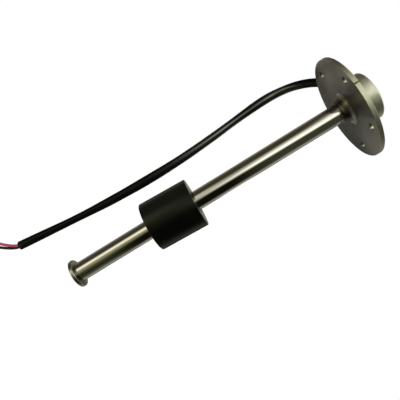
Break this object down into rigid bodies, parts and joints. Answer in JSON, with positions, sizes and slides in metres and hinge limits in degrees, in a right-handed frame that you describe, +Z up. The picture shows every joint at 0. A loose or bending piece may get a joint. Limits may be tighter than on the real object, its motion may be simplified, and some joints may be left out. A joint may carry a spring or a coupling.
{
  "type": "tank level sender",
  "caption": "Stainless tank level sender: drilled round flange under a capped head, slim stem with a sliding magnetic float and end stop, and a free cable with bare cores.",
  "frame": {"origin": "centre of the flange's tank-side face, on the stem's axis", "axes": "+Z up the stem and out of the tank; +Y to the middle of the wide gap between two bolt holes, where the cable leaves the head"},
  "size_m": [0.0684, 0.1185, 0.3061],
  "materials": {
    "flange_steel": "satin turned",
    "cap_steel": "bead blasted",
    "stem_steel": "polished",
    "weld_steel": "heat tinted bead",
    "stop_steel": "turned",
    "float_foam": "closed-cell skin, satin",
    "magnet_ferrite": "sintered",
    "grommet_rubber": "matte",
    "cable_black": "glossy",
    "core_red": "satin",
    "core_black": "satin",
    "tinned": "tinned strands",
    "board": "solder mask",
    "reed_glass": "clear",
    "resistor_black": "matte"
  },
  "bodies": {
    "sender": {"mounting_flange": "flange_steel", "head_cap": "cap_steel", "stem_tube": "stem_steel", "stem_weld": "weld_steel", "end_stop": "stop_steel", "cable_grommet": "grommet_rubber", "cable_jacket": "cable_black", "core_red": "core_red", "core_black": "core_black", "core_red_tip": "tinned", "core_black_tip": "tinned", "lead_red": "core_red", "lead_black": "core_black", "sensor_board": "board", "reed_switch_1": "reed_glass", "resistor_1": "resistor_black", "reed_switch_2": "reed_glass", "resistor_2": "resistor_black", "reed_switch_3": "reed_glass", "resistor_3": "resistor_black", "reed_switch_4": "reed_glass", "resistor_4": "resistor_black", "reed_switch_5": "reed_glass", "resistor_5": "resistor_black", "reed_switch_6": "reed_glass", "resistor_6": "resistor_black", "reed_switch_7": "reed_glass", "resistor_7": "resistor_black", "reed_switch_8": "reed_glass", "resistor_8": "resistor_black"},
    "float": {"float_body": "float_foam", "float_magnet": "magnet_ferrite"}
  },
  "joints": [
    {"name": "float_slide", "type": "slide", "parent": "sender", "child": "float", "axis": [0, 0, 1], "range_m": [-0.0552, 0.1049]}
  ]
}
